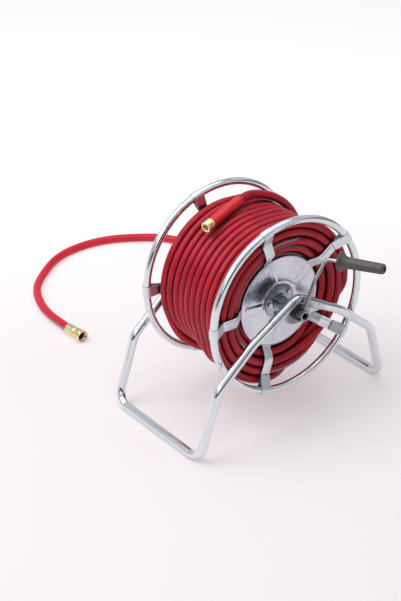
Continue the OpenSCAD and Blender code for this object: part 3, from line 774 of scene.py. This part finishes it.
def whole_winding():
    """Angle (degrees), radius and y of the hose up to where it leaves the drum."""
    angle, radius, y = even_layers()
    radius = loosen(angle, radius, y)
    knots = np.vstack([(END_ANGLE, radius[-1], y[-1]), OUTER_TURNS])
    knot_angle = knots[:, 0] + (angle[-1] - END_ANGLE)
    count = int((knot_angle[-1] - knot_angle[0]) / RING_STEP)
    outer = np.linspace(knot_angle[0], knot_angle[-1], count + 1)[1:]
    return (np.concatenate([angle, outer]),
            np.concatenate([radius, curve_through(outer, knot_angle, knots[:, 1])]),
            np.concatenate([y, curve_through(outer, knot_angle, knots[:, 2])]))


def free_end(wound):
    """Path from the end of the winding in a bend, then straight through the sleeve."""
    outwards = unit(SLEEVE_END - COUPLING_END)
    start = wound[-1]
    entry = SLEEVE_END + outwards * 0.010
    heading = unit(wound[-1] - wound[-2])
    span = float(np.linalg.norm(entry - start)) * 1.06
    bend = [cubic(k / 14.0, start, span * heading, entry, span * (-outwards))
            for k in range(1, 15)]
    stop = COUPLING_END + outwards * 0.024
    straight = [entry + (stop - entry) * k / 22.0 for k in range(1, 23)]
    return np.array(bend + straight)


def stripe_angles(angle):
    """Direction of the stripe in radians: mostly out of sight, rolled to a set one in places."""
    radians = np.radians(angle)
    roll = np.full(len(angle), 128.0) + 22.0 * wave(radians * 0.3, 1.0)
    for turn, window_from, window_to, facing in STRIPE_WINDOWS:
        start = turn_start(turn)
        for shift in (-360.0, 0.0, 360.0):
            lo = window_from + shift + 360.0 * turn
            hi = window_to + shift + 360.0 * turn
            if hi < start or lo > start + 360.0:
                continue
            lo, hi = max(lo, start - 10.0), min(hi, start + 370.0)
            inside = (smooth((angle - lo) / STRIPE_ROLL + 0.5)
                      * (1 - smooth((angle - hi) / STRIPE_ROLL + 0.5)))
            roll = roll * (1 - inside) + (facing + 8.0 * wave(radians * 0.8, 0.4)) * inside
    return np.radians(roll)


def build_drum_hose():
    angle, radius, y = whole_winding()
    radians = np.radians(angle)
    wound = np.stack([radius * np.cos(radians), y, AXLE_Z + radius * np.sin(radians)], 1)
    tail = free_end(wound)
    path = np.vstack([wound, tail])
    roll = stripe_angles(angle)
    outwards = np.stack([np.cos(radians), np.zeros_like(radians), np.sin(radians)], 1)
    stripe = np.cos(roll)[:, None] * outwards + np.sin(roll)[:, None] * np.array([0, 1, 0])
    along = tangents(path)[:len(stripe)]
    stripe = stripe - along * np.sum(stripe * along, 1)[:, None]
    stripe /= np.linalg.norm(stripe, axis=1)[:, None]
    tail_stripe = transport(np.vstack([wound[-1:], tail]), stripe[-1])[1:]
    coil = sweep("wound_hose", path, np.vstack([stripe, tail_stripe]), HOSE_R, 18, end_bore=BORE)
    finish(coil, M_HOSE, "hose_coil", "drum")


build_drum_hose()

# ---------------------------------------------------------------- leader hose
LEADER_R = 0.01045
# corners of the centre line, from the reel down to the floor and round to the swivel nut, in mm:
# x, y, z, radius of the bend
LEADER = np.array([
    (0, 208, 269.5, 0), (0, 208, 150, 100), (110, 350, 10.7, 120), (305, 520, 10.7, 120),
    (354, 668, 10.7, 150), (318, 796, 10.7, 150), (160, 903, 10.7, 190), (6, 903, 10.7, 190),
    (-151, 780, 10.7, 170), (-198, 655, 10.7, 170), (-200, 560, 14.2, 150),
    (-198, 497, 16.3, 0),
]) / 1000
LEADER_END = LEADER[-1, :3]
LEADER_DIR = unit(LEADER_END - LEADER[-2, :3])


def squeeze(piece, path, radius, from_end):
    """Make the lying hose narrower and taller in its bends, still resting on the floor."""
    bent = rise(from_end, 0.20, 0.22) * (1 - rise(from_end, 1.05, 0.25))
    taller = 1 + 0.07 * bent
    narrower = 1 - 0.05 * bent
    verts = np.array([v.co for v in piece.data.vertices]) - ORIGIN
    nearest = np.array([int(np.argmin(np.sum((path - v) ** 2, 1))) for v in verts])
    centre = path[nearest]
    offset = verts - centre
    verts[:, :2] = centre[:, :2] + offset[:, :2] * narrower[nearest][:, None]
    grown = radius[nearest] * taller[nearest] - LEADER_R      # growth below the centre
    height = centre[:, 2]
    lift = np.where(height < 0.0118, grown, grown * 0.4 * (height < 0.02))
    verts[:, 2] = height + offset[:, 2] * taller[nearest] + lift
    piece.data.vertices.foreach_set("co", (verts + ORIGIN).astype(np.float32).ravel())
    piece.data.update()


def build_leader():
    path = fillet_path(LEADER[:, :3], LEADER[:, 3], 0.006)
    for _ in range(60):                  # a hose has no straight-to-arc joints
        middle = path[4:-10]
        path[4:-10] = middle + 0.5 * ((path[3:-11] + path[5:-9]) / 2 - middle)
    backwards = path[::-1]
    distance = lengths_along(backwards)
    twist = -math.radians(75) * rise(distance, 0.10, 0.30)
    stripe = transport(backwards, np.array([-1.0, 0.0, -0.06]), twist)[::-1]
    # thicker between the two ends
    thick = rise(distance, 0.036, 0.030)[::-1] * smooth((path[0, 2] - path[:, 2] - 0.03) / 0.05)
    radius = LEADER_R + 0.00075 * thick
    leader = sweep("leader_line", path, stripe, radius, 28,
                   end_bore=LEADER_BORE, start_bore=LEADER_BORE)
    squeeze(leader, path, radius, distance[::-1])
    finish(leader, M_LEADER, "leader_hose", "stand")


build_leader()

# ---------------------------------------------------------------- turned fittings
# The profiles are closed loops of (radius, distance along the axis) in mm.
SLEEVE_START = 0.0222            # from the open end of the coupling to the sleeve
THREAD_PITCH = 2.209 * MM
CRIMPS = (3.6, 13.6, 24.6)       # middles of the crimped bands, mm

# from the barb to the open end
MALE_PROFILE = (
    (4.8, -44), (5.9, -44), (6.35, -40), (5.9, -40), (6.35, -35), (5.9, -35), (6.3, -30),
    (6.3, -21.6), (12.6, -21.6), (13.4, -20.9), (13.4, -17.6), (13.15, -17.2), (13.4, -16.8),
    (13.4, -14.6), (12.9, -14.0), (11.8, -13.4), (11.8, -11.6), (13.1, -10.4), (13.1, -1.0),
    (12.3, 0), (8.4, 0), (8, -0.5), (8, -14), (4.8, -16),
)
FERRULE_PROFILE = (
    (10.55, 0.6), (11.0, 0), (12.9, 0), (13.4, 0.6), (13.6, 1.4), (13.6, 5.6), (13.2, 6.8),
    (12.9, 7.6), (12.9, 9.4), (13.2, 10.2), (13.6, 11.4), (13.6, 15.6), (13.2, 16.8),
    (12.9, 17.6), (12.9, 19.4), (13.2, 20.2), (13.6, 21.4), (13.6, 29.6), (13.2, 31.6),
    (12.2, 33.8), (9.2, 36), (7.7, 36), (7.6, 34.5), (10.55, 34.3),
)
NUT_PROFILE = (
    (7.65, 6.1), (8.2, 6), (13.4, 6), (14.4, 6.4), (15.4, 8), (15.4, 26), (16.0, 26.5),
    (16.2, 27.0), (16.2, 31.0), (15.9, 31.7), (15.4, 32), (14.0, 32), (13.3, 31.3),
    (13.3, 14.05), (12.1, 14.0), (12, 11.45), (7.65, 11.4),
)


def metres(profile):
    return [(radius * MM, distance * MM) for radius, distance in profile]


def dense(points, step):
    """Closed profile with extra points along its sides."""
    filled = []
    for i, point in enumerate(points):
        start, end = np.array(point, float), np.array(points[(i + 1) % len(points)], float)
        count = max(1, int(np.linalg.norm(end - start) / step))
        for j in range(count):
            filled.append(tuple(start + (end - start) * j / count))
    return filled


def thread(distance, angle, start, end, depth, fade=0.0012):
    """Depth of a helical thread groove that fades out at both ends."""
    phase = (distance / THREAD_PITCH - angle / (2 * math.pi)) % 1.0
    from_middle = abs(phase - 0.5) * 2
    inside = float(rise(distance, start, fade)) * float(smooth((end - distance) / fade))
    return depth * (1 - smooth(from_middle * 1.25)) * inside


def male_shape(radius, distance, angle):
    """Thread at the open end, fine knurl on the collar."""
    if radius > 12.0 * MM and distance > -10.5 * MM:
        return radius - thread(distance, angle, -10.4 * MM, -0.4 * MM, depth=0.8 * MM)
    if radius > 12.5 * MM and distance < -14.3 * MM:
        return radius - 0.35 * MM * (0.5 + 0.5 * math.cos(24 * angle)) ** 3
    return radius


def ferrule_shape(radius, distance, angle):
    """Three bands pressed in between twelve ridges."""
    if radius < 12.3 * MM or distance < 1.0 * MM or distance > 30.5 * MM:
        return radius
    band = max(math.exp(-((distance / MM - middle) / 3.2) ** 2) for middle in CRIMPS)
    return radius - 0.55 * MM * band * abs(math.sin(6 * angle)) ** 0.6 + 0.05 * MM


def nut_shape(radius, distance, angle):
    """Eight ribs outside, thread inside."""
    if radius > 15.0 * MM and 7.9 * MM < distance < 25.9 * MM:
        phase = (angle * 8 / (2 * math.pi)) % 1.0
        rib = 1 - rise(abs(phase - 0.5), 0.17, 0.10)
        inside = (float(rise(distance, 8.0 * MM, 1.2 * MM))
                  * float(smooth((25.6 * MM - distance) / (1.2 * MM))))
        return radius + 0.85 * MM * rib * inside - 0.25 * MM * inside
    if 12.9 * MM < radius < 13.6 * MM and distance > 17.2 * MM:
        return radius + thread(distance, angle, 17.4 * MM, 31.0 * MM, depth=0.9 * MM)
    return radius


def build_sleeve():
    """Bend sleeve over the free end of the drum hose."""
    axis = SLEEVE_END - COUPLING_END
    end = (float(np.linalg.norm(axis)) - SLEEVE_START) * 1000
    profile = [
        (10.62, 0.4), (11.2, 0), (12.4, 0), (12.9, 0.5), (13.0, 1.4), (13.0, 8), (12.92, 40),
        (12.92, end - 26), (13.0, end - 12), (12.98, end - 2.4), (12.7, end - 0.8),
        (12.0, end), (11.2, end), (10.62, end - 0.5),
    ]
    origin = COUPLING_END + unit(axis) * SLEEVE_START
    sleeve = lathe("bend_sleeve", metres(profile), 64, origin, unit(axis))
    finish(sleeve, M_SLEEVE, "tail_sleeve", "drum")


def build_male_coupling():
    male = lathe("hose_end_male", dense(metres(MALE_PROFILE), 0.0004), 120, COUPLING_END,
                 -unit(SLEEVE_END - COUPLING_END), male_shape)
    finish(male, M_BRASS, "male_coupling", "drum")


def build_ferrule():
    """Crimped ferrule on the leader end."""
    ferrule = lathe("crimp_ferrule", dense(metres(FERRULE_PROFILE), 0.0009), 144,
                    LEADER_END - LEADER_DIR * 34 * MM, LEADER_DIR, ferrule_shape)
    finish(ferrule, M_BRASS, "leader_ferrule", "stand")


def build_nut():
    """Swivel nut beyond the ferrule."""
    nut = lathe("swivel_nut", dense(metres(NUT_PROFILE), 0.00045), 160, LEADER_END, LEADER_DIR,
                nut_shape, from_top=True)
    finish(nut, M_BRASS, "inlet_nut", "inlet_coupling")


build_sleeve()
build_male_coupling()
build_ferrule()
build_nut()

# ---------------------------------------------------------------- pressed sheet pieces
# In mm. Distances along the axis are from the middle of the drum, outwards; side is 1 for the
# near side (-Y) and -1 for the far side.
SPOKES = 5
SPOKE_FIRST = 35.0               # angle of the first spoke
SPOKE_GAP = 360 / SPOKES
RIM_R, RIM_TUBE_D, RIM_Y = 218.5, 19.0, 130.7
STRAP_THICK, STRAP_WIDTH = 1.6, 26.0
STRAP_INNER_Y = 99.0             # outer face of the strap under the disc
STRAP_RIM_Y = RIM_Y - RIM_TUBE_D / 2 - 0.35      # and under the rim
STRAP_EDGE = (0.25, 0.28)        # broken edges: off the width, off each face
SECTION_HALF = 12                # steps across half of the strap

DISC_SIDES = 240
DISC_FACE_Y, DISC_BACK_Y = 100.2, 99.1
DISC_FLAT_R = 42                 # flat within this radius
# rolled edge of the disc: radius, distance along the axis
DISC_BEAD = (
    (112.6, 100.2), (113.1, 100.7), (113.5, 101.25), (114.1, 101.6), (114.6, 101.45),
    (114.95, 101.0), (115.0, 100.3), (114.95, 99.6), (114.6, 99.2), (113.9, 99.05),
)
# radius, angle, width, height
DENTS = (
    (66, 150, 9, -0.35), (88, 118, 14, 0.30), (72, 205, 12, -0.30), (94, 258, 10, 0.25),
    (60, 20, 9, -0.25), (84, 330, 13, 0.25), (98, 78, 9, -0.22), (56, 285, 8, 0.20),
    (92, 170, 8, 0.25),
)


def round_line(points, radii, step):
    """Planar line with rounded corners, evenly spaced."""
    line = fillet_path([(x, y, 0.0) for x, y in points], radii, step)[:, :2]
    length = lengths_along(line)
    spaced = np.linspace(0, length[-1], int(length[-1] / step) + 1)
    return np.stack([np.interp(spaced, length, line[:, i]) for i in (0, 1)], 1)


def strap_line():
    """Middle line of a strap as (radius, y), and the number of points before the curl."""
    half = STRAP_THICK / 2
    run = round_line([(24, STRAP_INNER_Y - half), (117, STRAP_INNER_Y - half),
                      (142, STRAP_RIM_Y - half), (RIM_R, STRAP_RIM_Y - half)],
                     [0, 22, 22, 0], 1.5)
    # round the rim tube, from the drum side over the outside to the outer face
    curl_r = RIM_TUBE_D / 2 + 0.05 + half
    turn = np.radians(np.linspace(-90.0, 118.0, 40))
    curl = np.stack([RIM_R + curl_r * np.cos(turn), RIM_Y + curl_r * np.sin(turn)], 1)
    end = (RIM_R - 36.0, STRAP_RIM_Y + half + 0.2)
    fold = np.stack([np.linspace(curl[-1, i], end[i], 22) for i in (0, 1)], 1)[1:]
    line = np.vstack([run[:-1], curl, fold])
    for _ in range(4):                   # even out small kinks
        line[1:-1] = line[1:-1] * 0.5 + (line[:-2] + line[2:]) * 0.25
    return line, len(run) - 1


def strap(name, node, angle, side):
    """Spoke strip: flat under the disc, S-bend, raised centre, curled round the rim and folded
    back on itself."""
    line, run_count = strap_line()
    along = np.gradient(line, axis=0)
    along /= np.linalg.norm(along, axis=1)[:, None]
    normal = np.stack([-along[:, 1], along[:, 0]], 1)     # away from the drum on the first run
    length = lengths_along(line)
    half_width = STRAP_WIDTH / 2 + 1.0 * rise(length, length[run_count] - 30.0, 12.0)
    radii = line[:, 0]
    on_run = np.arange(len(line)) < run_count
    rib = rise(radii, 121, 8.0) * (1 - rise(radii, RIM_R - 46, 9.0)) * on_run
    at_rim = rise(radii, RIM_R - 24, 16.0)
    # section: share of the half width, and face
    shares = np.linspace(-1, 1, 2 * SECTION_HALF + 1)
    section = [(share, 1) for share in shares] + [(share, -1) for share in shares[::-1]]
    count = len(section)
    cos, sin = math.cos(math.radians(angle)), math.sin(math.radians(angle))
    verts = []
    for i in range(len(line)):
        for share, face in section:
            across = share * half_width[i]
            thick = STRAP_THICK / 2
            if abs(share) > 0.999:
                across -= math.copysign(STRAP_EDGE[0], across)
                thick -= STRAP_EDGE[1]
            lift = 1.5 * rib[i] * float(1 - rise(abs(across), 5.6, 2.6))
            lift += 0.5 * rib[i] * float(rise(abs(across), 11.0, 1.8))
            radius, y = line[i] + normal[i] * (face * thick + lift)
            radius = radius - at_rim[i] * across * across / (2 * RIM_R)
            verts.append(((radius * cos - across * sin) / 1000, -side * y / 1000,
                          AXLE_Z + (radius * sin + across * cos) / 1000))
    faces = grid_faces(len(line), count)
    for i in (0, len(line) - 1):         # ends
        first = i * count
        for j in range(2 * SECTION_HALF):
            faces.append((first + j, first + j + 1,
                          first + count - 2 - j, first + count - 1 - j))
    piece = add_mesh(name, verts, faces)
    face_outwards(piece)
    split_edges(piece, "edges", 40)
    finish(piece, M_SHEET, node, "drum")


def disc_height(radius, angle):
    """Height of the disc over its flat middle: shallow dish, a channel per spoke, and dents."""
    height = 1.7 * rise(radius, 44.0, 9.0) * (1 - rise(radius, 58.0, 56.0))
    for i in range(SPOKES):
        turned = (np.degrees(angle) - SPOKE_FIRST - SPOKE_GAP * i + 180.0) % 360.0 - 180.0
        turned = np.radians(turned)
        along, across = radius * np.cos(turned), np.abs(radius * np.sin(turned))
        half_width = 7.5 + 3.0 * rise(along, 50, 50)
        ridge = (rise(along, 47, 9.0) * (1 - rise(along, 97, 9.0))
                 * (1 - smooth((across - half_width + 2.5) / 6.5)))
        height = height + 1.6 * ridge * (np.cos(turned) > 0)
    for dent_r, dent_angle, width, depth in DENTS:
        dx = radius * np.cos(angle) - dent_r * math.cos(math.radians(dent_angle))
        dz = radius * np.sin(angle) - dent_r * math.sin(math.radians(dent_angle))
        height = height + depth * np.exp(-(dx * dx + dz * dz) / (width * width))
    return height


def pressed_disc(name, node, side):
    """Side disc with a hole for the axle and a rolled edge."""
    angle = 2 * np.pi * np.arange(DISC_SIDES) / DISC_SIDES
    radii = np.concatenate([[10.1, 11.0], np.arange(14, 42, 4.0), np.arange(42, 112.4, 1.5)])
    heights = [disc_height(r, angle) if r > DISC_FLAT_R else 0.0 for r in radii]
    front = [(r, DISC_FACE_Y + height) for r, height in zip(radii, heights)]
    back = [(r, DISC_BACK_Y + height) for r, height in zip(radii, heights)]
    rings = front + list(DISC_BEAD) + back[::-1]
    verts = []
    for radius, y in rings:
        across = np.full(DISC_SIDES, -side * y)
        ring = np.stack([radius * np.cos(angle), across, radius * np.sin(angle)], 1)
        verts.append(ring / 1000 + np.array([0, 0, AXLE_Z]))
    faces = grid_faces(len(rings), DISC_SIDES, closed=True)
    piece = add_mesh(name, np.concatenate(verts), faces)
    face_outwards(piece)
    finish(piece, M_DISC, node, "drum")


for side, tag in ((1, "near"), (-1, "far")):
    for i in range(SPOKES):
        strap("%s_strap_%d" % (tag, i + 1), "%s_spoke_%d" % (tag, i + 1),
              SPOKE_FIRST + SPOKE_GAP * i, side)
    pressed_disc("%s_pressed_disc" % tag, "%s_disc" % tag, side)

# ---------------------------------------------------------------- stage
FLOOR_R = 30.0
FLOOR_SIDES = 64


def floor_material():
    """Pale floor that glows a little, whiter and brighter far off."""
    m = Mat("floor_look")
    place = m.place()
    x, y, _ = m.split(place)
    away = x * 0.60 + y * 0.80           # distance away from the camera
    radial = m.math("SQRT", x * x + y * y)
    far = m.math("MAXIMUM", m.step(away, lo=0.05, hi=1.5), m.step(radial, lo=1.6, hi=4.0))
    mottle = m.noise(place, scale=3.0, detail=4, rough=0.5)
    m.set(color=m.blend((0.50, 0.470, 0.482), colour=(0.55, 0.545, 0.55), amount=far),
          rough=0.62, spec=0.12)
    pink = m.blend((1.0, 0.945, 0.972), colour=(1.0, 0.995, 1.0), amount=far)
    pale = m.blend((1.0, 0.955, 0.978), colour=(1.0, 0.995, 1.0), amount=far)
    tint = m.blend(pink, colour=pale, amount=m.step(mottle, lo=0.3, hi=0.7))
    glow = m.add("ShaderNodeEmission", {"Color": tint, "Strength": 0.40 + far * 0.17})
    both = m.add("ShaderNodeAddShader", {0: Value(m, m.shader.outputs[0]), 1: glow})
    m.put(m.out.inputs["Surface"], both)
    return m.material


def build_floor():
    mesh = bpy.data.meshes.new("floor")
    turns = [2 * math.pi * k / FLOOR_SIDES for k in range(FLOOR_SIDES)]
    verts = [(0, 0, 0)] + [(FLOOR_R * math.cos(t), FLOOR_R * math.sin(t), 0) for t in turns]
    faces = [(0, k + 1, (k + 1) % FLOOR_SIDES + 1) for k in range(FLOOR_SIDES)]
    mesh.from_pydata(verts, [], faces)
    floor = bpy.data.objects.new("floor", mesh)
    scene.collection.objects.link(floor)
    mesh.materials.append(floor_material())


def build_world():
    """White to the camera; for light and reflections, a bright cove with darker parts."""
    world = bpy.data.worlds.new("studio")
    scene.world = world
    world.use_nodes = True
    w = Nodes(world.node_tree)
    out = w.node("ShaderNodeOutputWorld")
    x, y, z = w.split(w.add("ShaderNodeTexCoord", {}, "Generated"))
    ray = w.node("ShaderNodeLightPath")
    glossy, camera = (Value(w, ray.outputs[key]) for key in ("Is Glossy Ray", "Is Camera Ray"))

    sky = w.blend((0.80, 0.80, 0.815), colour=(1.0, 1.0, 1.0), amount=w.step(z, lo=0.0, hi=0.9))
    # low down behind the camera
    behind = (w.step(x * -0.55 + y * -0.83, lo=0.52, hi=0.70)
              * (1.0 - w.step(z, lo=0.34, hi=0.48)))
    sky = w.blend(sky, colour=(0.03, 0.035, 0.05), amount=behind * 0.93)
    # low down to the camera's right
    right = (w.step(x * 0.93 + y * -0.37, lo=0.80, hi=0.93)
             * (1.0 - w.step(z, lo=0.30, hi=0.42)))
    sky = w.blend(sky, colour=(0.12, 0.13, 0.15), amount=right * 0.75)
    # a band all round, higher up
    band = w.step(z, lo=0.60, hi=0.66) * (1.0 - w.step(z, lo=0.74, hi=0.80))
    sky = w.blend(sky, colour=(0.14, 0.15, 0.18), amount=band * 0.45)
    # stronger in reflections
    boosted = w.blend(sky, colour=(1.35, 1.37, 1.42), amount=1.0, mode="MULTIPLY")
    sky = w.blend(sky, colour=boosted, amount=glossy)
    sky = w.blend(sky, colour=(1.9, 1.9, 1.9), amount=camera)
    w.put(out.inputs[0], w.add("ShaderNodeBackground", {"Color": sky, "Strength": 0.52}))


def area(name, place, target, size, power):
    light = bpy.data.lights.new(name, "AREA")
    light.shape = "RECTANGLE"
    light.size, light.size_y = size
    light.energy = power
    lamp = bpy.data.objects.new(name, light)
    scene.collection.objects.link(lamp)
    lamp.location = Vector(place) + Vector(ORIGIN)
    lamp.rotation_mode = "QUATERNION"
    lamp.rotation_quaternion = (Vector(target) - Vector(place)).to_track_quat("-Z", "Y")


build_floor()
build_world()
area("key", place=(-1.9, 0.9, 2.9), target=(0, 0.1, 0.2), size=(2.2, 2.2), power=62)
area("top", place=(0.3, 0.2, 3.6), target=(0, 0.1, 0.3), size=(3.2, 3.2), power=44)
area("front", place=(-2.6, -1.8, 1.9), target=(0, 0, 0.3), size=(0.5, 1.6), power=8)

# ---------------------------------------------------------------- camera
CAMERA_PLACE = np.array([-2.191139, -2.730383, 2.251277])
CAMERA_AZIMUTH, CAMERA_ELEVATION, CAMERA_ROLL = -36.689, 29.590, -1.173      # degrees


def build_camera():
    data = bpy.data.cameras.new("camera")
    data.lens = 99.70
    data.sensor_width = 36.0
    data.clip_start, data.clip_end = 0.05, 200
    camera = bpy.data.objects.new("camera", data)
    scene.collection.objects.link(camera)
    azimuth, elevation, roll = (math.radians(angle) for angle in (
        CAMERA_AZIMUTH, CAMERA_ELEVATION, CAMERA_ROLL))
    back = np.array([math.sin(azimuth) * math.cos(elevation),
                     -math.cos(azimuth) * math.cos(elevation), math.sin(elevation)])
    level = np.array([math.cos(azimuth), math.sin(azimuth), 0])
    upright = np.cross(back, level)
    right = math.cos(roll) * level + math.sin(roll) * upright
    up = -math.sin(roll) * level + math.cos(roll) * upright
    place = CAMERA_PLACE + ORIGIN
    rows = [(right[i], up[i], back[i], place[i]) for i in range(3)]
    camera.matrix_world = Matrix((*rows, (0, 0, 0, 1)))
    scene.camera = camera


build_camera()
scene.view_settings.view_transform = "Standard"
scene.view_settings.look = "None"
scene.view_settings.exposure = 0.0
